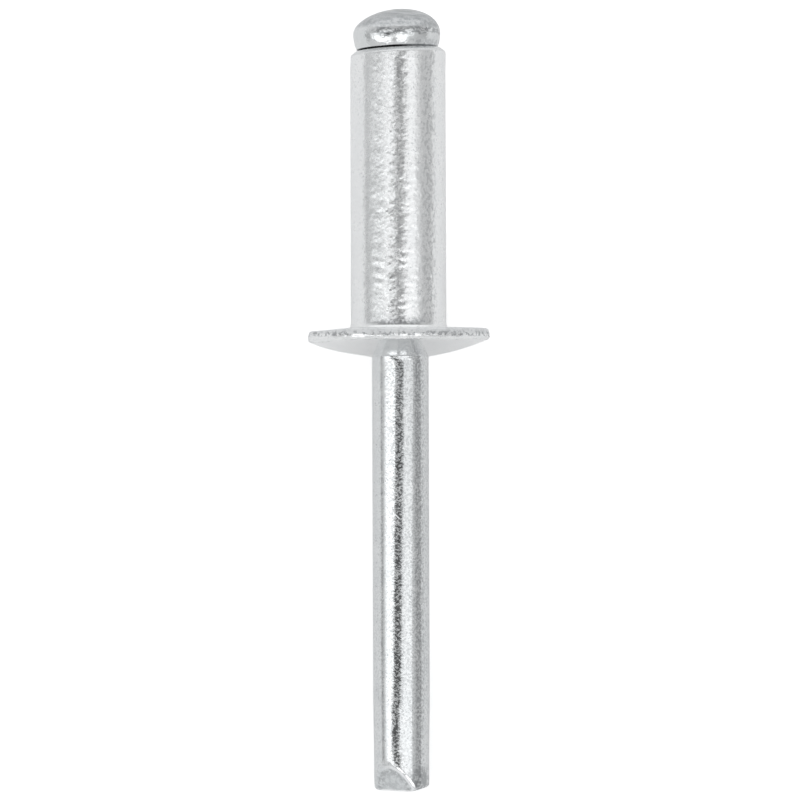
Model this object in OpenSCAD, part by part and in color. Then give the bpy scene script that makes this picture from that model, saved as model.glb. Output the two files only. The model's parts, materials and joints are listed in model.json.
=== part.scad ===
// Open-end blind rivet, unset, as it comes out of the box: an aluminium sleeve with a domed
// flange, threaded on the steel wire mandrel that sets it.
// The pieces are drawn upright on their common axis, with the seat face of the flange at
// height 0, the blind end up and the wire down. They are then laid down as the rivet comes to
// rest: on the rim of its flange and the tip of its wire.
// The side that is up at rest is the side at -Y while the pieces are upright.

/* [Sleeve] */
// Outer diameter of the sleeve, which goes into the drilled hole
sleeve_d = 6.4; // [5.4:0.1:7.4]
// Length of the sleeve from the seat face to the blind end
sleeve_len = 18.7; // [14:0.1:24]
// Chamfer round the outside of the blind end
end_chamfer = 0.3; // [0.1:0.05:0.6]
// Lean of the blind end, and of the mandrel head that sits on it, in degrees
end_lean = 2.8; // [0:0.1:4]

/* [Flange] */
// Diameter of the flange
flange_d = 12.2; // [10:0.1:15]
// Thickness of the flange at its rim
rim_t = 0.7; // [0.4:0.05:1.1]
// How far the dome stands proud of the rim, measured at the bore
dome_rise = 1.18; // [0.6:0.02:1.6]
// Rounding of the rim on the seat side
seat_edge_r = 0.2; // [0.05:0.05:0.3]
// Rounding of the rim on the dome side
dome_edge_r = 0.3; // [0.05:0.05:0.5]
// Fillet between the seat face and the sleeve
seat_fillet_r = 0.25; // [0.1:0.05:0.5]
// Small break of the bore's edges at the dome and at the blind end
bore_break = 0.12; // [0.05:0.01:0.2]

/* [Mandrel] */
// Diameter of the bare mandrel wire
wire_d = 3.8; // [3:0.1:4.4]
// How much wider the heading blow leaves the wire inside the sleeve
wire_swell = 0.04; // [0.02:0.01:0.1]
// Length over which that swelling runs out below the dome
swell_run = 0.8; // [0.7:0.1:2]
// Gap between the wire and the bore all round
wire_gap = 0.05; // [0.03:0.01:0.1]
// How far the wire stands out below the dome
wire_reach = 29.1; // [24:0.1:40]
// Rounding of the wire's cropped end
tip_r = 0.27; // [0.1:0.01:0.5]

/* [Cropping bevel] */
// Length of the bevel along the wire
bevel_len = 1.85; // [1:0.05:2.6]
// Angle between the bevel and the wire's axis, in degrees
bevel_angle = 28.5; // [20:0.5:36]
// Direction that the bevel faces, in degrees round the wire from the upper side
bevel_turn = -31; // [-180:1:180]

/* [Mandrel head] */
// Largest diameter of the head
head_d = 5.86; // [5:0.02:6.2]
// Diameter of the head's underside, where it sits on the blind end
head_seat_d = 5.4; // [4.9:0.1:5.6]
// Height of the head's widest place above the blind end
head_waist = 1.06; // [0.6:0.02:1.5]
// Height of the domed crown above the widest place
crown_h = 1.71; // [1:0.01:2.4]

/* [Break neck] */
// Depth of the neck's middle below the head, inside the sleeve
neck_depth = 3.4; // [2.4:0.1:5]
// Width left across two opposite pinches, which sets the breaking load
neck_flats = 2.6; // [2:0.1:2.9]
// Length of each pinch where it opens on the wire's surface
neck_len = 1.7; // [1:0.1:2.4]
// Flat bottom of each pinch
neck_root = 0.35; // [0.2:0.05:0.6]

/* [Hidden] */
$fn = 96;

aluminium = [0.84, 0.85, 0.86];
zinc_plated = [0.72, 0.74, 0.75];

sleeve_r = sleeve_d / 2;
wire_r = wire_d / 2;
held_r = wire_r + wire_swell / 2;
bore_r = held_r + wire_gap;
flange_r = flange_d / 2;
head_r = head_d / 2;
head_seat_r = head_seat_d / 2;

// Heights along the upright axis
dome_z = -(rim_t + dome_rise);
tip_z = dome_z - wire_reach;
neck_z = sleeve_len - neck_depth;

// The dome is a ball that passes through the bore's edge and through the rim's lower edge
dome_span = flange_r * flange_r - bore_r * bore_r;
dome_centre_z = (dome_span / dome_rise - 2 * rim_t - dome_rise) / 2;
dome_r = sqrt(flange_r * flange_r + (dome_centre_z + rim_t) * (dome_centre_z + rim_t));

// The rim's lower rounding touches the dome from inside and the rim's cylinder
dome_edge_centre = [
    flange_r - dome_edge_r,
    dome_centre_z - sqrt(pow(dome_r - dome_edge_r, 2) - pow(flange_r - dome_edge_r, 2))
];
dome_edge_end = atan2(dome_centre_z - dome_edge_centre[1], dome_edge_centre[0]);
bore_edge_angle = asin((bore_r + bore_break) / dome_r);

// The collar of the head is an arc that leaves the underside and stands upright at the waist
collar_inset = head_r - head_seat_r;
collar_r = (collar_inset * collar_inset + head_waist * head_waist) / (2 * collar_inset);
collar_sweep = asin(head_waist / collar_r);

// How far things are cut or carried past a surface
past = 1;
// Width of the small cone where the wire turns into the head's underside
under_cone_w = bore_break;

// The points of an arc in a section, from one angle to another
function arc(centre, r, from, to, steps) = [
    for (i = [0:steps])
        let (a = from + (to - from) * i / steps)
            [centre[0] + r * cos(a), centre[1] + r * sin(a)]
];

// Section of the flange's lower side, from the bore out to the rim
flange_under = concat(
    [[bore_r, dome_z + bore_break]],
    arc([0, dome_centre_z], dome_r, bore_edge_angle - 90, -dome_edge_end, 10),
    arc(dome_edge_centre, dome_edge_r, -dome_edge_end, 0, 5)
);

// Section of the rim's upper edge, the seat face and the fillet up to the sleeve
flange_seat = concat(
    arc([flange_r - seat_edge_r, -seat_edge_r], seat_edge_r, 0, 90, 5),
    arc([sleeve_r + seat_fillet_r, seat_fillet_r], seat_fillet_r, 270, 180, 6)
);

// Section of the wire's rounded end
tip_round = arc([wire_r - tip_r, tip_z + tip_r], tip_r, -90, 0, 5);

// The rivet lies on the straight line that touches its rim and its tip
function slope(p, q) = atan2(q[0] - p[0], q[1] - p[1]);
lay_tilt = max([for (q = flange_under) min([for (p = tip_round) slope(p, q)])]);
lay_drop = max([for (q = flange_under) q[0] * cos(lay_tilt) - q[1] * sin(lay_tilt)]);

// Distance of the bevel from the axis at the very end of the wire, and how far the end face
// that it leaves still reaches to the upper side
bevel_in = wire_r - bevel_len * tan(bevel_angle);
end_face_r = wire_r - tip_r;
bevel_half_chord = sqrt(max(0, end_face_r * end_face_r - bevel_in * bevel_in));
bevel_side_r = end_face_r * cos(bevel_turn) > bevel_in
    ? bevel_in * cos(bevel_turn) + bevel_half_chord * abs(sin(bevel_turn))
    : end_face_r;

// Reach of the laid rivet towards the tip and towards the head
tip_reach = -(tip_z + tip_r) * cos(lay_tilt) + tip_r + bevel_side_r * sin(lay_tilt);
crown_view = cos(lay_tilt) * cos(end_lean);
crown_reach = (sleeve_len + head_waist * cos(end_lean)) * cos(lay_tilt)
    + sqrt(pow(crown_h * crown_view, 2) + head_r * head_r * (1 - crown_view * crown_view));
lay_shift = (tip_reach - crown_reach) / 2;

// Lays the upright pieces down, with the middle of their outline over the origin
module laid() {
    translate([0, lay_shift, lay_drop])
        rotate([lay_tilt - 90, 0, 0])
            children();
}

// Puts a piece on the leaning blind end
module on_blind_end() {
    translate([0, 0, sleeve_len])
        rotate([0, -end_lean, 0])
            children();
}

// Everything that the leaning, chamfered blind end leaves outside the sleeve
module blind_end_cut() {
    reach = sleeve_d;
    rotate_extrude()
        polygon([
            [0, 0],
            [sleeve_r - end_chamfer, 0],
            [sleeve_r + past, -end_chamfer - past],
            [reach, -end_chamfer - past],
            [reach, past],
            [0, past]
        ]);
}

// Chamfer that opens the bore at the blind end, and clears the cone under the head
module bore_mouth_cut() {
    mouth_r = bore_r + under_cone_w + wire_gap;
    translate([0, 0, -mouth_r])
        cylinder(h = mouth_r + past, r1 = 0, r2 = mouth_r + past);
}

module rivet_body() {
    color(aluminium)
        laid()
            difference() {
                rotate_extrude()
                    polygon(concat(
                        flange_under,
                        flange_seat,
                        [[sleeve_r, sleeve_len + past / 2], [bore_r, sleeve_len + past / 2]]
                    ));
                on_blind_end() {
                    blind_end_cut();
                    bore_mouth_cut();
                }
            }
}

// Cold-headed dome with its collar, and the small cone that leads down to the wire
module mandrel_head() {
    rotate_extrude()
        polygon(concat(
            [[0, -2 * under_cone_w]],
            [[held_r - under_cone_w, -2 * under_cone_w], [held_r + under_cone_w, 0]],
            arc([head_r - collar_r, head_waist], collar_r, -collar_sweep, 0, 5),
            [for (a = [7.5:7.5:90]) [head_r * cos(a), head_waist + crown_h * sin(a)]]
        ));
}

// One pinch of the break neck, seen as a wedge driven into the side of the wire
module pinch() {
    depth = held_r - neck_flats / 2;
    flank = (neck_len - neck_root) / 2 * (depth + past) / depth;
    translate([neck_flats / 2, 0, neck_z])
        rotate([90, 0, 0])
            linear_extrude(height = wire_d + past, center = true)
                polygon([
                    [0, -neck_root / 2],
                    [depth + past, -neck_root / 2 - flank],
                    [depth + past, neck_root / 2 + flank],
                    [0, neck_root / 2]
                ]);
}

// The slanted face that the cropping tool leaves on the tip
module bevel_cut() {
    size = wire_d * 2;
    rotate([0, 0, bevel_turn])
        translate([0, -wire_r, tip_z + bevel_len])
            rotate([bevel_angle, 0, 0])
                translate([-size / 2, -size, -size])
                    cube([size, size, size * 2]);
}

module mandrel() {
    color(zinc_plated)
        laid()
            difference() {
                union() {
                    rotate_extrude()
                        polygon(concat(
                            [[0, tip_z]],
                            tip_round,
                            [[wire_r, dome_z - swell_run], [held_r, dome_z]],
                            [[held_r, sleeve_len], [0, sleeve_len]]
                        ));
                    on_blind_end()
                        mandrel_head();
                }
                for (a = [0:90:270])
                    rotate([0, 0, a])
                        pinch();
                bevel_cut();
            }
}

rivet_body();
mandrel();
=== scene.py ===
"""The finish of an unset blind rivet: tumbled aluminium sleeve and flange on a plated steel wire.

Both pieces are turned skins with a worked surface. They are drawn upright in millimetres, with
the seat face of the flange at height 0 and the blind end up, and then laid where the frame
says that the rivet lies.
"""
import json
import math

import bmesh
import bpy
from mathutils import Matrix, Vector


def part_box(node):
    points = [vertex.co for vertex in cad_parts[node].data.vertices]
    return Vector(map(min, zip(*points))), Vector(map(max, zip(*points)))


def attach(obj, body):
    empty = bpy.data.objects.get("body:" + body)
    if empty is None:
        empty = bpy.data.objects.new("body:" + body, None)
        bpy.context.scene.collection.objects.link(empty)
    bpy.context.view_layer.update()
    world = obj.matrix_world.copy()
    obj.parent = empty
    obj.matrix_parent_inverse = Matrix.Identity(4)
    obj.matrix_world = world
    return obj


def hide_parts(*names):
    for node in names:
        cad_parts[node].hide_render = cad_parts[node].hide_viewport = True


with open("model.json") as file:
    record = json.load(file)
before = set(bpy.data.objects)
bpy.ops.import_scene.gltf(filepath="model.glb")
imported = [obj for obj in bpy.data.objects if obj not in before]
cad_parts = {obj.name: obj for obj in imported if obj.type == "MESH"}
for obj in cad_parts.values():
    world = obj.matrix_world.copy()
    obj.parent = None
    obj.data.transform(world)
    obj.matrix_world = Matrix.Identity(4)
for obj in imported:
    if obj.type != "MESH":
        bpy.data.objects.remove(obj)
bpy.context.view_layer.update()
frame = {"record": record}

MM = 0.001
SEED = 7

# Sizes in millimetres and angles that the frame doesn't state
RIM_T = 0.70
DOME_RISE = 1.18
SEAT_EDGE_R = 0.20
DOME_EDGE_R = 0.30
SEAT_FILLET = (0.22, 0.42)
END_CHAMFER = (0.36, 0.27)
END_CHAMFER_R = 0.18
RIM_WIDEST = -0.47
RIM_TAPER = 0.06
RIM_DROOP = 0.18
SLEEVE_ASIDE = -0.10
HEAD_ASIDE = -0.12
BORE_EDGE_R = 0.10
SLEEVE_LEN = 18.7
BORE_PLAY = 0.05
WIRE_SWELL = 0.02
SWELL_RUN = 0.16
HEAD_R = 2.93
HEAD_SEAT_R = 2.70
HEAD_WAIST = 1.06
CROWN_H = 1.66
CROWN_ASIDE = 0.17
UNDER_HEAD_R = 0.12
WIRE_REACH = 29.1
TIP_R = 0.27
TIP_TAPER = 0.05
TAPER_FULL_TO = 2.6
TAPER_GONE_AT = 6.0
UNDERSIDE_R = 0.16
BEVEL_IN = 0.80
BEVEL_ANGLE = math.radians(29.5)
BEVEL_TURN = math.radians(-31)
END_LEAN = math.radians(2.8)
NECK_DEPTH = 3.4
NECK_FLATS = 2.6
NECK_LEN = 1.7
NECK_ROOT = 0.35

# Steps along the outlines in millimetres, fine on roundings and coarse where nothing shows
EDGE_STEP = 0.03
CORNER_STEP = 0.05
FACE_STEP = 0.12
WALL_STEP = 0.09
TIP_STEP = 0.045
WIRE_STEP = 0.17
HIDDEN_STEP = 1.2
BORE_STEP = 2.0
SAME_POINT = 0.0001
SEAM_GAP = 0.0005


def mount(name):
    """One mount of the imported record."""
    return next(m for m in frame["record"]["mounts"] if m["name"] == name)


def upright_matrix():
    """From upright millimetres to the rivet as it lies, in metres."""
    up_axis = Vector(mount("shank")["axis"]).normalized()
    on_axis = Vector(mount("shank")["pos_m"])
    on_seat = Vector(mount("seat_face")["pos_m"])
    origin = on_axis + (on_seat - on_axis).dot(up_axis) * up_axis
    across = Vector((1, 0, 0))
    upper_side = across.cross(up_axis)
    turned = Matrix((across, -upper_side, up_axis)).transposed().to_4x4()
    return Matrix.Translation(origin) @ turned @ Matrix.Scale(MM, 4)


LAID = upright_matrix()
SLEEVE_R = mount("shank")["dims"]["r_mm"]
WIRE_R = mount("stem")["dims"]["r_mm"]
HELD_R = WIRE_R + WIRE_SWELL
BORE_R = HELD_R + BORE_PLAY
FLANGE_R = (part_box("rivet_body")[1][0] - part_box("rivet_body")[0][0]) / MM / 2
DOME_Z = -(RIM_T + DOME_RISE)
TIP_Z = DOME_Z - WIRE_REACH
WAIST_Z = SLEEVE_LEN + HEAD_WAIST


class Outline:
    """A section in radius and height, walked in small steps, with a share of each relief."""

    def __init__(self):
        self.points = []
        self.shares = []

    def add(self, point, peel=0.0, ripple=0.0, nick=0.0):
        if self.points and math.dist(self.points[-1], point) < SAME_POINT:
            return
        self.points.append(point)
        self.shares.append((peel, ripple, nick))

    def line(self, start, end, step, **shares):
        count = max(1, round(math.dist(start, end) / step))
        for i in range(count + 1):
            t = i / count
            self.add(tuple(a + (b - a) * t for a, b in zip(start, end)), **shares)

    def curve(self, place, count, **shares):
        """A stretch that a function of 0 to 1 gives."""
        for i in range(count + 1):
            self.add(place(i / count), **shares)

    def arc(self, centre, r, start, end, step, **shares):
        """An arc between two angles in degrees, counted from the outward direction."""
        count = max(2, round(abs(math.radians(end - start)) * r / step))

        def place(t):
            a = math.radians(start + (end - start) * t)
            return centre[0] + r * math.cos(a), centre[1] + r * math.sin(a)

        self.curve(place, count, **shares)


def body_outline():
    """The sleeve and flange, from the bore over the dome, rim, seat and wall to the blind end."""
    o = Outline()
    span = FLANGE_R ** 2 - BORE_R ** 2
    dome_centre = (span / DOME_RISE - 2 * RIM_T - DOME_RISE) / 2
    dome_r = math.hypot(FLANGE_R, dome_centre + RIM_T)
    edge_x = FLANGE_R - DOME_EDGE_R
    edge_z = dome_centre - math.sqrt((dome_r - DOME_EDGE_R) ** 2 - edge_x ** 2)
    dome_end = -math.degrees(math.atan2(dome_centre - edge_z, edge_x))
    dome_start = math.degrees(math.asin((BORE_R + BORE_EDGE_R) / dome_r)) - 90

    o.arc((BORE_R + BORE_EDGE_R, DOME_Z + BORE_EDGE_R), BORE_EDGE_R, 180, 262, CORNER_STEP)
    o.arc((0, dome_centre), dome_r, dome_start, dome_end, FACE_STEP, peel=0.25)
    o.arc((edge_x, edge_z), DOME_EDGE_R, dome_end, 0, EDGE_STEP, peel=0.5, nick=1.0)

    def rim(t):
        z = edge_z + (-SEAT_EDGE_R - edge_z) * t
        above_widest = max(0.0, (z - RIM_WIDEST) / (-SEAT_EDGE_R - RIM_WIDEST))
        return FLANGE_R - RIM_TAPER * above_widest ** 2, z

    o.curve(rim, 8, peel=0.5, nick=0.35)
    seat_edge_x = FLANGE_R - RIM_TAPER - SEAT_EDGE_R
    o.arc((seat_edge_x, -SEAT_EDGE_R), SEAT_EDGE_R, 20, 90, CORNER_STEP, peel=0.3, nick=0.12)
    wide, tall = SEAT_FILLET
    o.line((seat_edge_x, 0), (SLEEVE_R + wide, 0), 0.15, peel=0.5)

    def fillet(t):
        a = t * math.pi / 2
        return SLEEVE_R + wide * (1 - math.sin(a)), tall * (1 - math.cos(a))

    o.curve(fillet, 12, peel=0.1)
    chamfer_in, chamfer_down = END_CHAMFER
    lean = math.atan2(chamfer_in, chamfer_down)
    first = END_CHAMFER_R * math.tan(lean / 2)
    second = END_CHAMFER_R * math.tan((math.pi / 2 - lean) / 2)
    wall_end = SLEEVE_LEN - chamfer_down - first
    o.line((SLEEVE_R, tall), (SLEEVE_R, wall_end), WALL_STEP, peel=1.0, ripple=1.0)
    corner = (SLEEVE_R - END_CHAMFER_R, wall_end)
    o.arc(corner, END_CHAMFER_R, 0, math.degrees(lean), EDGE_STEP, peel=0.9)
    inner = (SLEEVE_R - chamfer_in - second, SLEEVE_LEN - END_CHAMFER_R)
    o.arc(inner, END_CHAMFER_R, math.degrees(lean), 90, EDGE_STEP, peel=0.6)
    face_r = SLEEVE_R - (chamfer_in + second)
    bore_edge = (BORE_R + BORE_EDGE_R, SLEEVE_LEN - BORE_EDGE_R)
    o.line((face_r, SLEEVE_LEN), (bore_edge[0], SLEEVE_LEN), FACE_STEP, peel=0.5)
    o.arc(bore_edge, BORE_EDGE_R, 90, 180, CORNER_STEP)
    o.line((BORE_R, bore_edge[1]), (BORE_R, DOME_Z + BORE_EDGE_R), BORE_STEP)
    return o


def wire_outline():
    """The mandrel, from the middle of its cropped end up to the top of its crown."""
    o = Outline()
    end_r = WIRE_R - TIP_TAPER
    o.line((0, TIP_Z), (end_r - TIP_R, TIP_Z), 0.08, peel=0.6)
    o.arc((end_r - TIP_R, TIP_Z + TIP_R), TIP_R, -90, 0, 0.04, peel=0.8)
    o.line((end_r, TIP_Z + TIP_R), (end_r, TIP_Z + TAPER_FULL_TO), TIP_STEP, peel=0.8)
    o.line((end_r, TIP_Z + TAPER_FULL_TO), (WIRE_R, TIP_Z + TAPER_GONE_AT), WIRE_STEP, peel=1.0)
    o.line((WIRE_R, TIP_Z + TAPER_GONE_AT), (WIRE_R, DOME_Z - SWELL_RUN), WIRE_STEP, peel=1.0)
    o.line((WIRE_R, DOME_Z - SWELL_RUN), (HELD_R, DOME_Z), 0.08, peel=1.0)

    neck_low = SLEEVE_LEN - NECK_DEPTH - NECK_LEN / 2
    neck_high = SLEEVE_LEN - NECK_DEPTH + NECK_LEN / 2
    under_z = SLEEVE_LEN - UNDER_HEAD_R
    o.line((HELD_R, DOME_Z), (HELD_R, neck_low), HIDDEN_STEP)
    o.line((HELD_R, neck_low), (HELD_R, neck_high), FACE_STEP)
    o.line((HELD_R, neck_high), (HELD_R, under_z), HIDDEN_STEP)
    o.arc((HELD_R + UNDER_HEAD_R, under_z), UNDER_HEAD_R, 180, 90, CORNER_STEP)
    under = (HEAD_SEAT_R - UNDERSIDE_R, SLEEVE_LEN + UNDERSIDE_R)
    o.line((HELD_R + UNDER_HEAD_R, SLEEVE_LEN), (under[0], SLEEVE_LEN), 0.1)
    o.arc(under, UNDERSIDE_R, -90, -35, EDGE_STEP)

    inset = HEAD_R - HEAD_SEAT_R
    collar_r = (inset ** 2 + HEAD_WAIST ** 2) / (2 * inset)
    sweep = math.degrees(math.asin((HEAD_WAIST - UNDERSIDE_R * 0.6) / collar_r))
    o.arc((HEAD_R - collar_r, WAIST_Z), collar_r, -sweep, 0, 0.06, peel=0.9)

    def crown(t):
        a = t * math.pi / 2
        return HEAD_R * math.cos(a), WAIST_Z + CROWN_H * math.sin(a)

    o.curve(crown, 56, peel=1.0)
    return o


class Tree:
    """A node tree that is written one line a node."""

    def __init__(self, group):
        self.nodes = group.nodes
        self.links = group.links

    def add(self, kind, ins=None, out=0, **settings):
        """One node. ins maps an input's name or number to a value or another node's output."""
        node = self.nodes.new(kind)
        for key, value in settings.items():
            setattr(node, key, value)
        for key, value in (ins or {}).items():
            self.put(node.inputs[key], value)
        return node.outputs[out]

    def put(self, socket, value):
        if isinstance(value, bpy.types.NodeSocket):
            self.links.new(value, socket)
        else:
            socket.default_value = value

    def math(self, operation, a, b=0.0):
        return self.add("ShaderNodeMath", {0: a, 1: b}, operation=operation)

    def total(self, first, *others):
        for other in others:
            first = self.math("ADD", first, other)
        return first

    def times(self, first, *others):
        for other in others:
            first = self.math("MULTIPLY", first, other)
        return first

    def minus(self, first, second):
        return self.math("SUBTRACT", first, second)

    def mix(self, first, second, share):
        """A value that goes from the first to the second."""
        return self.total(first, self.times(self.minus(second, first), share))

    def axes(self, vector):
        """The three parts of a vector."""
        node = self.nodes.new("ShaderNodeSeparateXYZ")
        self.links.new(vector, node.inputs[0])
        return tuple(node.outputs)

    def dot(self, first, second):
        return self.add("ShaderNodeVectorMath", {0: first, 1: second}, "Value", operation="DOT_PRODUCT")

    def noise(self, vector, scale, detail=2.0, rough=0.5):
        ins = {"Vector": vector, "Scale": scale, "Detail": detail, "Roughness": rough}
        return self.add("ShaderNodeTexNoise", ins)

    def ramp(self, value, low, high, to_low=0.0, to_high=1.0):
        """Maps one range smoothly to another, held at both ends."""
        ins = {"Value": value, "From Min": low, "From Max": high, "To Min": to_low, "To Max": to_high}
        return self.add("ShaderNodeMapRange", ins, interpolation_type="SMOOTHSTEP", clamp=True)

    def fall(self, value, low, high):
        """1 below one number, 0 above the other, and smooth between."""
        return self.ramp(value, low, high, 1.0, 0.0)

    def band(self, value, rise, fall):
        """Rises over one range and falls over the other."""
        return self.times(self.ramp(value, *rise), self.fall(value, *fall))


def skin_inputs(group):
    """The named inputs of the turned skin, and the socket identifier of each."""
    face = group.interface
    face.new_socket("Outline", in_out="INPUT", socket_type="NodeSocketGeometry")
    face.new_socket("Skin", in_out="OUTPUT", socket_type="NodeSocketGeometry")
    ids = {}
    for name, kind in (
        ("Steps round", "NodeSocketInt"),
        ("Peel size", "NodeSocketFloat"),
        ("Peel height", "NodeSocketFloat"),
        ("Ripple spacing", "NodeSocketFloat"),
        ("Ripple height", "NodeSocketFloat"),
        ("Ripple from", "NodeSocketFloat"),
        ("Ripple to", "NodeSocketFloat"),
        ("Nick size", "NodeSocketFloat"),
        ("Nick height", "NodeSocketFloat"),
        ("Seed", "NodeSocketFloat"),
        ("Finish", "NodeSocketMaterial"),
    ):
        socket = face.new_socket(name, in_out="INPUT", socket_type=kind)
        ids[name] = socket.identifier
    return ids


def turned_skin():
    """Geometry nodes that turn an outline into a closed skin and work its surface.

    A grid has one row for each point of the outline and one column for each step round. Each
    of its points takes its radius and height from the outline. The seam and the poles are
    merged, and then the surface is moved along its normals by the three reliefs.
    """
    group = bpy.data.node_groups.new("turned_skin", "GeometryNodeTree")
    ids = skin_inputs(group)
    t = Tree(group)
    source = group.nodes.new("NodeGroupInput").outputs
    outline = source["Outline"]

    rows = t.add("GeometryNodeAttributeDomainSize", {"Geometry": outline}, component="MESH")
    columns = t.total(source["Steps round"], 1)
    grid = group.nodes.new("GeometryNodeMeshGrid")
    t.put(grid.inputs["Vertices X"], rows)
    t.put(grid.inputs["Vertices Y"], columns)

    index = t.add("GeometryNodeInputIndex")
    row = t.math("FLOOR", t.math("DIVIDE", t.total(index, 0.5), columns))
    column = t.minus(index, t.times(row, columns))
    angle = t.times(t.math("DIVIDE", column, source["Steps round"]), math.tau)

    def sampled(value, kind):
        """What the outline holds at the point that belongs to this row."""
        node = group.nodes.new("GeometryNodeSampleIndex")
        node.data_type = kind
        node.domain = "POINT"
        t.links.new(outline, node.inputs["Geometry"])
        t.links.new(row, node.inputs["Index"])
        t.links.new(value, node.inputs["Value"])
        return node.outputs["Value"]

    radius, run, height = t.axes(sampled(t.add("GeometryNodeInputPosition"), "FLOAT_VECTOR"))
    # the seam is on the underside, where the rivet lies on the floor
    x = t.times(radius, t.math("SINE", angle))
    y = t.times(radius, t.math("COSINE", angle))
    place = t.add("ShaderNodeCombineXYZ", {0: x, 1: y, 2: height})
    turned = t.add("GeometryNodeSetPosition", {"Geometry": grid.outputs["Mesh"], "Position": place})

    wrap = t.add("ShaderNodeCombineXYZ", {0: t.times(angle, radius), 1: run})
    for name, value, kind, domain in (
        ("wrap", wrap, "FLOAT2", "CORNER"),
        ("peel", "peel", "FLOAT", "POINT"),
        ("ripple", "ripple", "FLOAT", "POINT"),
        ("nick", "nick", "FLOAT", "POINT"),
    ):
        if isinstance(value, str):
            named = t.add("GeometryNodeInputNamedAttribute", {"Name": value}, data_type="FLOAT")
            value = sampled(named, "FLOAT")
        store = group.nodes.new("GeometryNodeStoreNamedAttribute")
        store.data_type = kind
        store.domain = domain
        store.inputs["Name"].default_value = name
        t.links.new(turned, store.inputs["Geometry"])
        t.links.new(value, store.inputs["Value"])
        turned = store.outputs["Geometry"]
    closed = t.add("GeometryNodeMergeByDistance", {"Geometry": turned, "Distance": SEAM_GAP})

    def share(name):
        return t.add("GeometryNodeInputNamedAttribute", {"Name": name}, data_type="FLOAT")

    spot = t.add("GeometryNodeInputPosition")
    z = t.axes(spot)[2]
    shift = t.add("ShaderNodeCombineXYZ", {0: source["Seed"]})
    seeded = t.add("ShaderNodeVectorMath", {0: spot, 1: shift}, operation="ADD")

    peel_noise = t.noise(seeded, t.math("DIVIDE", 1.0, source["Peel size"]), 1.5)
    peel = t.times(t.minus(peel_noise, 0.5), source["Peel height"], share("peel"))

    # crosswise wrinkles, bent by a slow noise and broken up by a quicker one
    bend = t.times(t.noise(seeded, 0.45, 2.0), 2.6)
    phase = t.math("DIVIDE", t.total(z, bend), source["Ripple spacing"])
    wave = t.math("ABSOLUTE", t.math("SINE", t.times(phase, math.pi)))
    broken = t.ramp(t.noise(seeded, 0.9, 1.0), 0.38, 0.62)
    start = t.ramp(z, source["Ripple from"], t.total(source["Ripple from"], 1.5))
    stop = t.fall(z, t.minus(source["Ripple to"], 3.0), source["Ripple to"])
    amount = t.times(t.times(broken, start), t.times(stop, share("ripple")))
    ripple = t.times(wave, source["Ripple height"], amount)

    nick_noise = t.noise(seeded, t.math("DIVIDE", 1.0, source["Nick size"]), 2.0, 0.6)
    nick = t.times(t.minus(nick_noise, 0.5), source["Nick height"], share("nick"))

    relief = t.total(peel, ripple, nick)
    normal = t.add("GeometryNodeInputNormal")
    offset = t.add("ShaderNodeVectorMath", {0: normal, "Scale": relief}, operation="SCALE")
    worked = t.add("GeometryNodeSetPosition", {"Geometry": closed, "Offset": offset})
    real = t.add("GeometryNodeRealizeInstances", {"Geometry": worked})
    finished = t.add("GeometryNodeSetMaterial", {"Geometry": real, "Material": source["Finish"]})
    sink = group.nodes.new("NodeGroupOutput")
    t.links.new(finished, sink.inputs["Skin"])
    return group, ids


SKIN, SKIN_IDS = turned_skin()


def turned(name, outline, **settings):
    """A mesh made by turning an outline, still upright and in millimetres."""
    shape = bpy.data.meshes.new(name + "_outline")
    run = 0.0
    points = []
    for i, (r, z) in enumerate(outline.points):
        run += math.dist(outline.points[i - 1], (r, z)) if i else 0.0
        points.append((r, run, z))
    shape.from_pydata(points, [(i, i + 1) for i in range(len(points) - 1)], [])
    for n, share in enumerate(("peel", "ripple", "nick")):
        layer = shape.attributes.new(share, "FLOAT", "POINT")
        layer.data.foreach_set("value", [s[n] for s in outline.shares])
    maker = bpy.data.objects.new(name + "_maker", shape)
    bpy.context.scene.collection.objects.link(maker)
    modifier = maker.modifiers.new("turned_skin", "NODES")
    modifier.node_group = SKIN
    for key, value in settings.items():
        modifier[SKIN_IDS[key.replace("_", " ").capitalize()]] = value
    evaluated = maker.evaluated_get(bpy.context.evaluated_depsgraph_get())
    mesh = bpy.data.meshes.new_from_object(evaluated)
    mesh.name = name
    mesh.materials.clear()
    mesh.materials.append(settings["finish"])
    mesh.polygons.foreach_set("material_index", [0] * len(mesh.polygons))
    maker.modifiers.remove(modifier)
    bpy.data.objects.remove(maker)
    return mesh


def soft_min(a, b, width):
    """The smaller of two numbers, with a rounding of this width where they cross."""
    h = max(0.0, min(1.0, 0.5 + (b - a) / (2 * width)))
    return b + (a - b) * h - width * h * (1 - h)


def fade(value, low, high):
    """0 below one number, 1 above the other, and smooth between."""
    t = max(0.0, min(1.0, (value - low) / (high - low)))
    return t * t * (3 - 2 * t)


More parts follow.
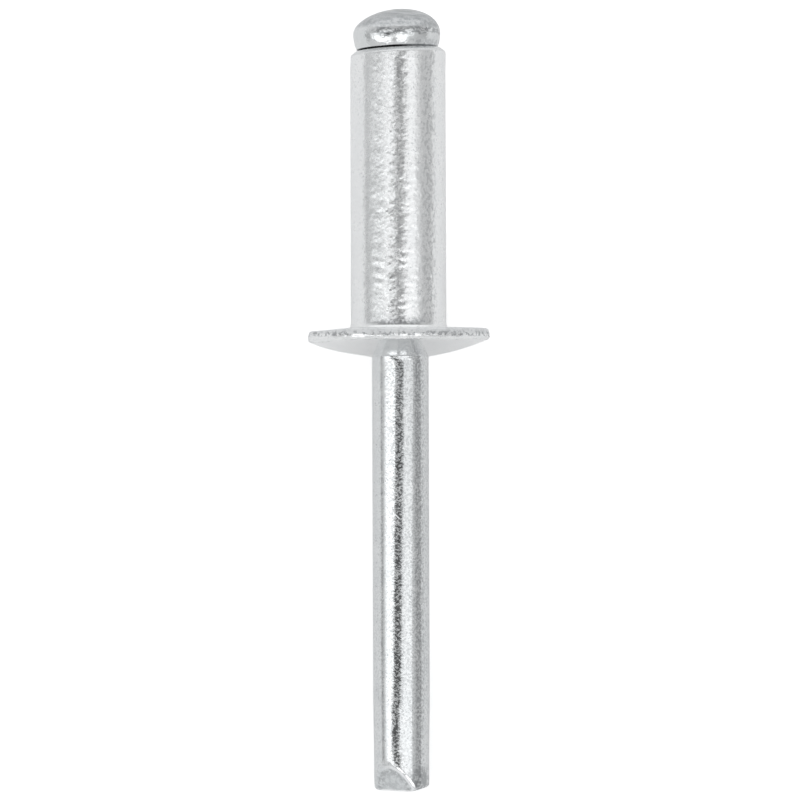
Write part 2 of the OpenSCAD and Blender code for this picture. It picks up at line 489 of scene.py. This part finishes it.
def crop_bevel(mesh):
    """The slanted face that the cropping tool left: rolled over on the left, crisp on the right."""
    reach = 3.0
    rolled = 0.24
    crisp = 0.035
    hollow = 0.03
    lip_height = 0.02
    corner_height = 0.9
    corner_lift = 0.22
    facing = Vector((math.sin(BEVEL_TURN), -math.cos(BEVEL_TURN)))
    for name in ("facet", "cut"):
        mesh.attributes.new(name, "FLOAT", "POINT")
    facet, cut = mesh.attributes["facet"], mesh.attributes["cut"]
    for v in mesh.vertices:
        rise = v.co.z - TIP_Z
        r = v.co.xy.length
        if rise > reach or r < 1e-6:
            continue
        # the far corner of the end is knocked round
        corner = fade(v.co.x / WIRE_R, 0.10, 1.0) * (1 - fade(rise, 0.0, corner_height))
        toward = v.co.xy.dot(facing)
        if toward > 0:
            side = v.co.xy.cross(facing) / WIRE_R
            right = fade(-side, 0.02, 0.3)
            limit = BEVEL_IN + rise * math.tan(BEVEL_ANGLE)
            share = soft_min(toward, limit, rolled + (crisp - rolled) * right) / toward
            beside = (limit - toward) * math.cos(BEVEL_ANGLE)
            facet.data[v.index].value = 1 - fade(beside, -0.07, 0.01)
            cut.data[v.index].value = max(0.0, -beside)
            # the face is hollow in its middle, and its crisp edge stands up in a broken lip
            middle = max(0.0, 1 - (side / 0.75) ** 2) * max(0.0, 1 - ((rise - 0.75) / 0.85) ** 2)
            kept = 1 - hollow * middle / max(toward, 0.3)
            broken = 0.6 + 0.4 * math.sin(rise * 11.0) * math.sin(rise * 4.3 + 1.0)
            at_edge = math.exp(-((beside - 0.02) / 0.075) ** 2)
            lip = lip_height * right * broken * at_edge * fade(rise, 0.0, 0.2)
            v.co.x *= share * kept + lip / r
            v.co.y *= share * kept + lip / r
        v.co.z += corner_lift * corner


def add_burr(mesh):
    """The sliver that the cropping tool turned up along one side of the bevel, in two lengths."""
    count = 24
    tall = 0.028
    proud = 0.012
    section = ((-1, -2.4), (-1, 0.4), (-0.8, 1), (-0.6, 1), (0.6, 1), (0.8, 1), (1, 0.4), (1, -2.4))
    work = bmesh.new()
    work.from_mesh(mesh)
    flag = work.verts.layers.float["cut"]

    def on_edge(degrees):
        around = BEVEL_TURN + math.radians(degrees)
        rise = (WIRE_R * math.cos(math.radians(degrees)) - BEVEL_IN) / math.tan(BEVEL_ANGLE)
        return Vector((WIRE_R * math.sin(around), -WIRE_R * math.cos(around), TIP_Z + rise))

    # degrees round the wire from and to, half width, and the way that it faces to catch the light
    upper = (21.5, 37.0, 0.080, Vector((-0.156, -0.973, -0.17)))
    lower = (38.5, 59.0, 0.105, Vector((0.0, -1.0, 0.0)))
    for first, last, wide, facing in (upper, lower):
        rows = []
        for i in range(count + 1):
            t = i / count
            degrees = first + (last - first) * t
            along = (on_edge(degrees + 0.5) - on_edge(degrees - 0.5)).normalized()
            up = (facing - facing.dot(along) * along).normalized()
            over = along.cross(up)
            pointed = math.sqrt(max(0.02, 1 - (2 * t - 1) ** 4))
            half = wide * pointed * (0.88 + 0.12 * math.sin(17 * t + first))
            middle = on_edge(degrees) + up * proud
            ring = [middle + over * (half * x) + up * (tall * y) for x, y in section]
            rows.append([work.verts.new(place) for place in ring])
        for a, b in zip(rows, rows[1:]):
            for j in range(len(section)):
                k = (j + 1) % len(section)
                work.faces.new((a[j], a[k], b[k], b[j]))
        work.faces.new(rows[0][::-1])
        work.faces.new(rows[-1])
        # the finish tells the burr from the wire by this
        for row in rows:
            for v in row:
                v[flag] = -1.0
    work.to_mesh(mesh)
    work.free()


def droop_rim(mesh):
    """One side of the flange is bent a little away from the sleeve."""
    for v in mesh.vertices:
        if v.co.z < 0.2 and v.co.xy.length > SLEEVE_R * 0.7:
            v.co.z -= RIM_DROOP * fade(-v.co.x, 2.3, 5.6)


def pinch_neck(mesh):
    """The four-sided break neck, which the sleeve hides."""
    neck_z = SLEEVE_LEN - NECK_DEPTH
    slope = (HELD_R - NECK_FLATS / 2) / ((NECK_LEN - NECK_ROOT) / 2)
    for v in mesh.vertices:
        away = abs(v.co.z - neck_z)
        if away > NECK_LEN:
            continue
        limit = NECK_FLATS / 2 + max(0.0, away - NECK_ROOT / 2) * slope
        reach = max(abs(v.co.x), abs(v.co.y))
        if reach > limit:
            v.co.x *= limit / reach
            v.co.y *= limit / reach


def lean_end(mesh, above, full):
    """Leans what lies above a height about the middle of the blind end."""
    lean = Matrix.Rotation(-END_LEAN, 4, "Y")
    base = Vector((0, 0, SLEEVE_LEN))
    for v in mesh.vertices:
        share = max(0.0, min(1.0, (v.co.z - above) / (full - above)))
        if share > 0 and v.co.xy.length > BORE_R - 0.2 or v.co.z > SLEEVE_LEN:
            v.co = v.co.lerp(base + lean @ (v.co - base), share)


def set_aside(mesh, shift, above, full):
    """Moves what lies above a height sideways, as play and a blow off centre leave it."""
    for v in mesh.vertices:
        v.co.x += shift * fade(v.co.z, above, full)


def finished_piece(name, mesh, node):
    """Lays the mesh down and hands the piece to the frame."""
    mesh.transform(LAID)
    work = bmesh.new()
    work.from_mesh(mesh)
    bmesh.ops.recalc_face_normals(work, faces=work.faces)
    if work.calc_volume(signed=True) < 0:
        bmesh.ops.reverse_faces(work, faces=work.faces)
    work.to_mesh(mesh)
    work.free()
    mesh.shade_smooth()
    piece = bpy.data.objects.new(name, mesh)
    bpy.context.scene.collection.objects.link(piece)
    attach(piece, "root")
    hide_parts(node)
    return piece


def upright_coordinates(t):
    """Object coordinates turned back to upright millimetres, so that patterns follow the axis."""
    inverse = LAID.inverted()
    ins = {
        "Vector": t.add("ShaderNodeTexCoord", out="Object"),
        "Location": inverse.to_translation(),
        "Rotation": inverse.to_euler(),
        "Scale": (1 / MM, 1 / MM, 1 / MM),
    }
    return t.add("ShaderNodeMapping", ins)


class Metal(Tree):
    """A bare metal that is built up in layers of tone, roughness and bumps.

    where holds the upright coordinates, and side, depth and z their three parts: across to the
    right, away from the camera and up the axis.
    """

    def __init__(self, name):
        self.material = bpy.data.materials.new(name)
        self.material.use_nodes = True
        super().__init__(self.material.node_tree)
        self.nodes.clear()
        self.where = upright_coordinates(self)
        self.side, self.depth, self.z = self.axes(self.where)
        self.tone = None
        self.rough = None
        self.normal = None

    def blend(self, share, first, second):
        """A colour between two colours."""
        node = self.nodes.new("ShaderNodeMix")
        node.data_type = "RGBA"
        colours = [s for s in node.inputs if s.type == "RGBA"]
        self.put([s for s in node.inputs if s.name == "Factor" and s.type == "VALUE"][0], share)
        for socket, value in zip(colours, (first, second)):
            self.put(socket, value if isinstance(value, bpy.types.NodeSocket) else (*value, 1))
        return [s for s in node.outputs if s.type == "RGBA"][0]

    def tint(self, colour, *masks):
        """Lays a colour over the tone, as strongly as the product of the masks."""
        self.tone = self.blend(self.times(*masks), self.tone, colour)

    def roughen(self, amount, *masks):
        self.rough = self.total(self.rough, self.times(*masks, amount))

    def bump(self, height, distance, strength):
        """Presses a pattern into the surface, to a depth in millimetres."""
        ins = {"Strength": strength, "Distance": distance * MM, "Height": height}
        if self.normal is not None:
            ins["Normal"] = self.normal
        self.normal = self.add("ShaderNodeBump", ins)

    def grain(self, scale, detail=2.0, rough=0.5, turn=0.0):
        """A noise. Three scales stretch it, and turn leans it in the plane that faces the camera."""
        if isinstance(scale, tuple):
            ins = {"Vector": self.where, "Rotation": (0.0, math.radians(turn), 0.0)}
            leant = self.add("ShaderNodeMapping", ins)
            stretched = self.add("ShaderNodeMapping", {"Vector": leant, "Scale": scale})
            return self.noise(stretched, 1.0, detail, rough)
        return self.noise(self.where, scale, detail, rough)

    def without(self, mask, share=1.0):
        """What is left where a mask takes this share away."""
        return self.minus(1.0, self.times(mask, share))

    def attribute(self, name):
        return self.add("ShaderNodeAttribute", out="Fac", attribute_name=name)

    def finished(self):
        """The material, with its layers connected."""
        shader = self.nodes.new("ShaderNodeBsdfPrincipled")
        shader.inputs["Metallic"].default_value = 1.0
        self.put(shader.inputs["Base Color"], self.tone)
        self.put(shader.inputs["Roughness"], self.rough)
        self.put(shader.inputs["Normal"], self.normal)
        out = self.nodes.new("ShaderNodeOutputMaterial")
        self.links.new(shader.outputs[0], out.inputs["Surface"])
        return self.material


def above_seat(m):
    """Height above the leaning seat of the mandrel head."""
    upward = (-math.sin(END_LEAN), 0.0, math.cos(END_LEAN))
    return m.minus(m.dot(m.where, upward), SLEEVE_LEN * math.cos(END_LEAN))


def seat_crease_shade(m, height):
    """Painted shade in the crease under the head, heaviest where the lean opens it."""
    off = m.math("ABSOLUTE", m.minus(above_seat(m), 0.02))
    return m.times(m.fall(off, height * 0.6, height), m.ramp(m.side, -0.4, 1.3, 1.0, 0.2))


def waist_dark_reflection(m):
    """A painted dark reflection: a broken, dark ring at the head's widest place."""
    fringe = m.times(m.minus(m.grain(1.6, 2.0), 0.5), 0.5)
    over_waist = m.minus(m.total(above_seat(m), fringe), HEAD_WAIST)
    ring = m.band(over_waist, (-0.30, -0.16), (0.12, 0.36))
    broken = m.ramp(m.grain((3.4, 3.4, 5.0), 2.0, 0.65), 0.36, 0.56)
    return m.times(ring, broken, m.ramp(m.side, -2.1, -1.2))


def short_scratch(m, middle, slope, half_length):
    """One straight scratch on the upper side, as a mask. The slope is in degrees, down to the right."""
    x = m.minus(m.side, middle[0])
    z = m.minus(m.z, middle[1])
    c = math.cos(math.radians(slope))
    s = math.sin(math.radians(slope))
    along = m.math("ABSOLUTE", m.minus(m.times(x, c), m.times(z, s)))
    across = m.math("ABSOLUTE", m.total(m.times(x, s), m.times(z, c)))
    near = m.times(m.fall(across, 0.02, 0.05), m.fall(along, half_length * 0.7, half_length))
    return m.times(near, m.fall(m.depth, -0.5, 0.0))


# Base colours of the aluminium
ALUMINIUM = (0.88, 0.887, 0.892)
ALUMINIUM_PALE = (0.91, 0.914, 0.917)
# painted shade on the left flank of the sleeve
ALUMINIUM_FLANK_SHADE = (0.72, 0.73, 0.735)
# painted shade on the blind end's chamfer
BLIND_END_SHADE = (0.70, 0.71, 0.715)
RIM_EDGE = (0.70, 0.71, 0.72)
GREY_SPECK = (0.62, 0.635, 0.65)
GREY_GRAIN = (0.52, 0.53, 0.54)
# painted shade at the foot of the sleeve
FOOT_SHADE = (0.42, 0.43, 0.44)
RIM_DASHES = (0.36, 0.37, 0.38)
# painted shade in the crease under the head
CREASE_SHADE = (0.20, 0.205, 0.21)

# Base colours of the zinc-plated steel
ZINC = (0.735, 0.75, 0.757)
ZINC_PALE = (0.785, 0.795, 0.80)
ZINC_SPECKLE = (0.45, 0.46, 0.47)
ZINC_GRAIN = (0.30, 0.31, 0.32)
ZINC_STAIN = (0.36, 0.37, 0.38)
ZINC_PIT = (0.42, 0.43, 0.44)
ZINC_SMEAR = (0.34, 0.35, 0.36)
ZINC_SCRATCH = (0.92, 0.93, 0.94)
# painted shade in the crease under the head
ZINC_CREASE_SHADE = (0.13, 0.135, 0.14)
# the crown's darker tones are partly painted shade
CROWN_DARK = (0.40, 0.415, 0.425)
CROWN_PALE = (0.60, 0.61, 0.62)
# painted dark reflection at the head's waist
WAIST_REFLECTION_DARK = (0.28, 0.29, 0.30)
SHEARED_DARK = (0.58, 0.60, 0.61)
SHEARED_PALE = (0.72, 0.74, 0.75)
# painted highlights on the cropped face
SHEARED_EDGE_HIGHLIGHT = (0.92, 0.93, 0.94)
SHEARED_STRIP_HIGHLIGHT = (0.97, 0.975, 0.98)
# painted highlight on the burr
BURR_HIGHLIGHT = (0.95, 0.955, 0.96)


def tumbled_aluminium():
    """Soft aluminium that was tumbled in bulk: a fine dented grain and small grey specks."""
    m = Metal("tumbled_aluminium")
    z = m.z
    seat = above_seat(m)
    flat = m.add("ShaderNodeVectorMath", {0: m.where, 1: (1.0, 1.0, 0.0)}, operation="MULTIPLY")
    out = m.add("ShaderNodeVectorMath", {0: flat}, "Value", operation="LENGTH")
    rim = m.attribute("nick")
    cloud = m.grain(0.8, 3.0, 0.6)
    # the grain leaves out the foot of the sleeve and all but spares the flange
    plain = m.times(
        m.ramp(m.math("ABSOLUTE", m.minus(z, 0.1)), 0.1, 0.3),
        m.ramp(z, -0.25, 0.0, 0.15, 1.0),
    )
    m.tone = m.blend(m.ramp(cloud, 0.35, 0.65), ALUMINIUM, ALUMINIUM_PALE)
    specks = m.times(
        m.ramp(m.grain(6.0, 1.0), 0.58, 0.72),
        m.ramp(cloud, 0.4, 0.6, 0.3, 1.0),
        m.ramp(z, -0.6, -0.4, 0.2, 1.0),
    )
    m.tint(GREY_SPECK, specks, 0.75)
    coarse = m.ramp(m.grain((5.0, 5.0, 3.6), 1.5), 0.46, 0.62)
    m.tint(GREY_GRAIN, m.band(m.side, (1.2, 1.8), (2.3, 2.5)), coarse, plain, 0.5)
    # the left flank is rubbed duller, and its colour is darkened there as painted shade, most towards
    # the flange
    rubbed_and_shaded = m.times(m.band(m.side, (-2.4, -2.1), (-1.5, -0.7)), plain)
    m.tint(ALUMINIUM_FLANK_SHADE, rubbed_and_shaded, m.ramp(z, 9.0, 13.0, 0.85, 0.5))
    # painted shade on the blind end's edge and in the crease under the head
    m.tint(BLIND_END_SHADE, m.ramp(seat, -0.36, -0.26), 0.75)
    m.tint(CREASE_SHADE, seat_crease_shade(m, 0.08), m.fall(out, 2.80, 2.98))
    # painted shade at the foot of the sleeve, broken up by a noise
    m.tint(
        FOOT_SHADE,
        m.band(z, (0.16, 0.24), (0.34, 0.95)),
        m.fall(m.math("ABSOLUTE", m.side), 0.8, 2.3),
        m.ramp(m.grain(4.2, 1.0), 0.36, 0.62, 0.25, 0.9),
    )
    # the rim: a dull upper edge and a row of dark dashes
    rim_top = m.times(m.ramp(out, 5.7, 5.8), m.ramp(z, -0.46, -0.36))
    m.tint(RIM_EDGE, rim_top, 0.5)
    m.tint(
        RIM_DASHES,
        m.ramp(out, 5.85, 5.95),
        m.ramp(z, -0.62, -0.50),
        m.ramp(z, -0.36, -0.18, 1.0, 0.25),
        m.ramp(m.grain((3.6, 3.6, 4.5), 2.0, 0.6), 0.46, 0.60),
        0.8,
    )
    m.bump(m.grain(2.2, 1.0), 0.016, plain)
    m.bump(m.grain(4.6, 0.8), 0.0085, plain)
    m.bump(m.grain((3.6, 3.6, 1.2), 0.5), 0.022, rim)

    m.rough = m.ramp(cloud, 0.3, 0.7, 0.14, 0.19)
    m.roughen(0.10, rim)
    m.roughen(-0.05, m.fall(z, -0.9, -0.7))
    m.roughen(0.26, rim_top)
    m.roughen(0.05, rubbed_and_shaded)
    m.roughen(0.10, m.ramp(m.grain(5.5, 1.0), 0.44, 0.62), plain)
    return m.finished()


def sheared_face(m, cut):
    """The cropped face: mottled, darkest just inside its edge, which is rolled over, with a painted
    highlight along that edge and along the face's lowest strip.
    """
    tone = m.blend(m.ramp(m.grain(3.2, 3.0, 0.6), 0.36, 0.62), SHEARED_DARK, SHEARED_PALE)
    inside = m.times(m.band(cut, (0.10, 0.16), (0.22, 0.5)), m.ramp(m.grain(4.5, 2.0), 0.40, 0.58))
    tone = m.blend(m.times(inside, 0.75), tone, ZINC_PIT)
    edge = m.times(m.fall(cut, 0.09, 0.17), m.ramp(m.side, -1.5, -0.9))
    tone = m.blend(edge, tone, SHEARED_EDGE_HIGHLIGHT)
    lowest = m.fall(m.z, TIP_Z + 0.07, TIP_Z + 0.13)
    strip = m.times(lowest, m.ramp(m.grain(1.9, 1.0), 0.40, 0.50))
    return m.blend(strip, tone, SHEARED_STRIP_HIGHLIGHT)


def bright_zinc():
    """Zinc on drawn wire: slanted micro-scratches and dark pits, with a duller, brushed crown whose
    darker tone is partly painted shade.
    """
    m = Metal("bright_zinc_on_drawn_wire")
    side = m.side
    z = m.z
    head = m.ramp(z, SLEEVE_LEN - 0.1, SLEEVE_LEN)
    crown = m.ramp(z, WAIST_Z + 0.2, WAIST_Z + 0.5)
    worn = m.fall(z, TIP_Z + 1.1, TIP_Z + 2.0)
    facet = m.attribute("facet")
    cut = m.attribute("cut")
    shank = m.without(m.math("MAXIMUM", head, facet))
    cloud = m.grain(0.8, 3.0, 0.6)
    one_way = m.grain((4.8, 4.8, 9.0), 0.5, turn=35)
    other_way = m.grain((5.4, 5.4, 9.0), 0.5, turn=-30)
    rings = m.grain((0.7, 0.7, 13.0), 2.0, 0.6, turn=-2.8)

    m.tone = m.blend(m.ramp(cloud, 0.35, 0.65), ZINC, ZINC_PALE)
    # speckled all over, less on the head, the left side and near the tip
    clean = m.times(m.fall(side, -0.4, -0.1), m.ramp(z, -19.0, -11.0, 0.6, 1.0))
    clean = m.math("MAXIMUM", clean, m.ramp(z, -27.0, -25.5, 0.6, 0.0))
    speckle = m.ramp(m.grain(6.8, 1.0), 0.42, 0.64)
    m.tint(ZINC_SPECKLE, speckle, m.minus(0.52, m.times(head, 0.42)), m.without(clean, 0.75))
    # a dark grain along the right side, a stain by the tip and pits in patches
    coarse = m.ramp(m.grain((7.0, 7.0, 5.0), 1.0), 0.46, 0.60)
    m.tint(ZINC_GRAIN, m.band(side, (0.90, 1.05), (1.45, 1.60)), coarse, m.without(head), 0.46)
    m.tint(ZINC_STAIN, worn, m.ramp(m.grain(2.4, 3.0, 0.65), 0.40, 0.54), m.ramp(side, 0.3, 0.9), 0.85)
    patches = m.math("MAXIMUM", worn, m.ramp(m.grain(1.3, 2.0), 0.42, 0.6))
    m.tint(ZINC_PIT, m.ramp(m.grain(7.5, 1.5), 0.60, 0.70), patches, 0.8)
    # the crown is blotched, and ringed by the die nearer to its top; its darker tone overall is painted
    # shade
    blotch = m.grain((2.6, 2.6, 4.0), 4.0, 0.7)
    worked = m.mix(blotch, rings, m.ramp(z, WAIST_Z + 0.7, WAIST_Z + 1.3))
    m.tint(m.blend(m.ramp(worked, 0.36, 0.64), CROWN_DARK, CROWN_PALE), crown)
    # a painted dark reflection round the head's waist
    m.tint(WAIST_REFLECTION_DARK, waist_dark_reflection(m), 0.72)
    # the burr is marked by a cut of -1; its near-white colour is a painted highlight
    m.tint(sheared_face(m, cut), facet)
    m.tint(BURR_HIGHLIGHT, m.fall(cut, -0.6, -0.4))
    # dirt low on the head's right side, and painted shade in the crease under it
    smear = m.times(m.band(above_seat(m), (0.08, 0.16), (0.36, 0.56)), m.ramp(side, 0.5, 1.1))
    m.tint(ZINC_SMEAR, smear, m.ramp(m.grain(3.4, 2.0), 0.38, 0.56), 0.45)
    m.tint(ZINC_CREASE_SHADE, seat_crease_shade(m, 0.13))
    scratch = short_scratch(m, middle=(-0.25, -12.55), slope=47.0, half_length=0.26)
    m.tint(ZINC_SCRATCH, scratch)

    m.bump(m.grain((11.0, 11.0, 0.35), 1.0), 0.002, shank)
    m.bump(one_way, 0.0014, shank)
    m.bump(other_way, 0.0012, shank)
    m.bump(rings, 0.006, head)
    m.bump(m.grain(6.5, 0.5), 0.010, m.math("MAXIMUM", head, m.times(facet, 0.4)))

    m.rough = m.ramp(cloud, 0.3, 0.7, 0.07, 0.11)
    m.roughen(0.13, m.ramp(m.total(one_way, other_way), 0.92, 1.12), shank)
    m.roughen(0.04, head)
    m.roughen(0.12, crown)
    m.roughen(0.08, facet)
    m.roughen(0.45, scratch)
    return m.finished()


def sleeve_and_flange():
    mesh = turned(
        "sleeve_and_flange", body_outline(),
        steps_round=280, peel_size=0.5, peel_height=0.016, ripple_spacing=0.66, ripple_height=0.012,
        ripple_from=0.4, ripple_to=12.5, nick_size=0.34, nick_height=0.20, seed=float(SEED),
        finish=tumbled_aluminium(),
    )
    lean_end(mesh, SLEEVE_LEN - 1.2, SLEEVE_LEN - 0.4)
    droop_rim(mesh)
    # from below the flange on, so that the whole piece stands to one side
    set_aside(mesh, SLEEVE_ASIDE, -40.0, -30.0)
    return finished_piece("sleeve_and_flange", mesh, "rivet_body")


def headed_wire():
    mesh = turned(
        "headed_wire", wire_outline(),
        steps_round=252, peel_size=0.42, peel_height=0.006, ripple_spacing=1.0, ripple_height=0.0,
        ripple_from=0.0, ripple_to=1.0, nick_size=0.5, nick_height=0.0, seed=SEED + 20.0,
        finish=bright_zinc(),
    )
    crop_bevel(mesh)
    add_burr(mesh)
    pinch_neck(mesh)
    set_aside(mesh, CROWN_ASIDE, WAIST_Z + 0.4, WAIST_Z + CROWN_H)
    lean_end(mesh, SLEEVE_LEN - 0.4, SLEEVE_LEN - 0.1)
    set_aside(mesh, HEAD_ASIDE, SLEEVE_LEN - 0.5, SLEEVE_LEN - 0.1)
    return finished_piece("headed_wire", mesh, "mandrel")


# The camera stands square to the rivet's axis, a little towards the wire from the flange
PICTURE_MM = 53.68
CAMERA_DISTANCE = 268.0
CAMERA_HEIGHT = -4.80
CAMERA_ACROSS = -0.03
CAMERA_ROLL = math.radians(-0.195)
SENSOR = 36.0


def photo_camera():
    data = bpy.data.cameras.new("camera")
    data.sensor_width = SENSOR
    data.lens = SENSOR * CAMERA_DISTANCE / PICTURE_MM
    data.clip_start = 0.01
    data.clip_end = 20.0
    camera = bpy.data.objects.new("camera", data)
    place = LAID @ Vector((CAMERA_ACROSS, -CAMERA_DISTANCE, CAMERA_HEIGHT))
    across, back, up_axis = (LAID.col[i].xyz.normalized() for i in range(3))
    turn = Matrix((across, up_axis, -back)).transposed()
    roll = Matrix.Rotation(CAMERA_ROLL, 3, "Z")
    camera.matrix_world = Matrix.Translation(place) @ (turn @ roll).to_4x4()
    bpy.context.scene.collection.objects.link(camera)
    bpy.context.scene.camera = camera


def window_gap(t, turn, lift):
    """The dark gap between the two windows, as the turn of its middle and as a mask."""
    # it is wide level with the camera, and slanted there
    level_part = t.fall(t.math("ABSOLUTE", lift), 9, 15)
    head_end = t.ramp(lift, 0.6, 1.6)
    near_foot = t.times(head_end, 3.6, t.fall(lift, 2.6, 4.2))
    slant = t.times(t.total(t.times(lift, 2.0), t.times(t.math("MINIMUM", lift, 0.0), 1.3)), level_part)
    narrow = t.total(-7.0, t.times(head_end, 4.5))
    middle = t.total(
        slant,
        t.ramp(level_part, 0, 1, narrow, -3.8),
        near_foot,
        t.ramp(lift, 3.0, 4.2, 0.0, -1.4),
    )
    half = t.total(
        6.6,
        t.times(level_part, 10.0),
        t.times(head_end, level_part, -3.4),
        t.times(near_foot, -1.6),
        t.times(t.fall(lift, -2.0, 0.0), level_part, -1.4),
    )
    off = t.math("ABSOLUTE", t.minus(turn, middle))
    return middle, t.minus(1.0, t.ramp(t.minus(off, half), -2.0, 2.0))


def tent_glow(t):
    """How brightly the tent shines in each direction."""
    direction = t.add("ShaderNodeTexCoord", out="Generated")
    across, back, up_axis = (LAID.col[i].xyz.normalized() for i in range(3))
    # angles in degrees: turn goes round the rivet's axis from the camera to the right, and
    # lift goes from square to the axis towards the head
    turn = t.math("DEGREES", t.math("ARCTAN2", t.dot(direction, across), t.dot(direction, -back)))
    lift = t.math("DEGREES", t.math("ARCSINE", t.dot(direction, up_axis)))
    middle, gap = window_gap(t, turn, lift)

    # the sleeve mirrors the head end of the tent, which is lit less than the wire end, and the
    # collar of the head mirrors the part beyond the wire
    sleeve_end = t.ramp(lift, 0.8, 1.8)
    collar_end = t.fall(lift, -12, -8)

    # the left window's outer edge is bowed, and the right one's is stepped
    bow = t.times(t.total(lift, 5.0), 1 / 15)
    bow = t.math("MINIMUM", t.times(bow, bow, 13.0), 36.0)
    right_edge = t.total(
        50.0,
        t.times(sleeve_end, -9.0),
        t.times(collar_end, -16.0),
        t.ramp(lift, -3.5, -0.5, -6.5, 0.0),
    )
    inner = t.times(t.ramp(t.minus(turn, bow), -74, -68), t.fall(t.minus(turn, right_edge), -2.5, 2.5))
    right_side = t.ramp(t.minus(turn, middle), -5, 5)
    left_level = t.total(
        t.mix(t.ramp(turn, -74, -53, 1.0, 1.58), t.ramp(turn, -52, -14, 0.50, 1.12), sleeve_end),
        t.times(collar_end, 0.1),
    )
    right_level = t.total(
        t.mix(t.ramp(lift, -3.5, 0.5, 1.30, 0.98), 1.0, sleeve_end),
        t.times(collar_end, 0.2),
    )
    gap_level = t.mix(0.11, t.ramp(lift, 2.2, 4.0, 0.62, 0.22), sleeve_end)

    def window(value, low, high, soft):
        return t.band(value, (low - soft, low + soft), (high - soft, high + soft))

    front = window(turn, -80, 70, 6)
    faced = window(lift, -9.5, 8.5, 3.0)
    inside = window(lift, -28, 14, 2.5)
    # each level lies over the ones before it where all of its masks are open
    glow = 0.72
    for level, *masks in (
        (1.03, t.ramp(lift, 33, 42)),
        (0.74, window(lift, -74, -54, 3)),
        (1.30, window(lift, -100, -71, 3), front),
        (0.70, window(lift, -54, -30, 8), front),
        (0.66, window(turn, 47, 92, 3), window(lift, -46, 30, 4)),
        (0.50, window(turn, 59, 90, 4), faced),
        (0.57, window(turn, 58, 98, 4), window(lift, 0.8, 24, 1.0)),
        (0.46, window(turn, -89, -77, 3.0), window(lift, -14, 0.4, 1.0)),
        (left_level, inner, inside),
        (right_level, inner, inside, right_side),
        (0.62, window(turn, -88, -62, 4), window(lift, 0.8, 14, 1.0)),
        (0.42, gap, window(lift, -28, 16, 2.5)),
        (gap_level, gap, faced),
        (0.56, window(lift, 14, 37, 4), window(turn, -60, 75, 18)),
    ):
        glow = t.mix(glow, level, t.times(*masks))
    return glow


def light_tent():
    """A pale tent round the rivet with two soft windows beside the camera and a dark gap between."""
    world = bpy.data.worlds.new("light_tent")
    world.use_nodes = True
    bpy.context.scene.world = world
    tree = world.node_tree
    tree.nodes.clear()
    t = Tree(tree)
    lit = tree.nodes.new("ShaderNodeBackground")
    t.put(lit.inputs["Strength"], tent_glow(t))
    lit.inputs["Color"].default_value = (0.985, 0.995, 1.0, 1)
    # the camera itself sees plain white beyond the floor
    white = tree.nodes.new("ShaderNodeBackground")
    white.inputs["Color"].default_value = (1, 1, 1, 1)
    mix = tree.nodes.new("ShaderNodeMixShader")
    t.put(mix.inputs[0], t.add("ShaderNodeLightPath", out="Is Camera Ray"))
    t.links.new(lit.outputs[0], mix.inputs[1])
    t.links.new(white.outputs[0], mix.inputs[2])
    out = tree.nodes.new("ShaderNodeOutputWorld")
    t.links.new(mix.outputs[0], out.inputs["Surface"])


def pale_floor():
    """A sheet of white paper that shines a little, more for the camera than in reflections."""
    size = 3.0
    camera_glow = 0.45
    glossy_glow = 0.06
    corners = [(-size, -size, 0), (size, -size, 0), (size, size, 0), (-size, size, 0)]
    mesh = bpy.data.meshes.new("floor")
    mesh.from_pydata(corners, [], [(0, 1, 2, 3)])
    material = bpy.data.materials.new("pale_floor")
    material.use_nodes = True
    tree = material.node_tree
    tree.nodes.clear()
    t = Tree(tree)
    paper = tree.nodes.new("ShaderNodeBsdfDiffuse")
    paper.inputs["Color"].default_value = (0.92, 0.92, 0.92, 1)
    shine = tree.nodes.new("ShaderNodeEmission")
    camera_ray = t.add("ShaderNodeLightPath", out="Is Camera Ray")
    glossy_ray = t.add("ShaderNodeLightPath", out="Is Glossy Ray")
    strength = t.total(t.times(camera_ray, camera_glow), t.times(glossy_ray, glossy_glow))
    t.put(shine.inputs["Strength"], strength)
    both = tree.nodes.new("ShaderNodeAddShader")
    t.links.new(paper.outputs[0], both.inputs[0])
    t.links.new(shine.outputs[0], both.inputs[1])
    out = tree.nodes.new("ShaderNodeOutputMaterial")
    t.links.new(both.outputs[0], out.inputs["Surface"])
    mesh.materials.append(material)
    floor = bpy.data.objects.new("floor", mesh)
    bpy.context.scene.collection.objects.link(floor)


photo_camera()
light_tent()
pale_floor()
sleeve_and_flange()
headed_wire()

bpy.context.scene.view_settings.view_transform = "Standard"
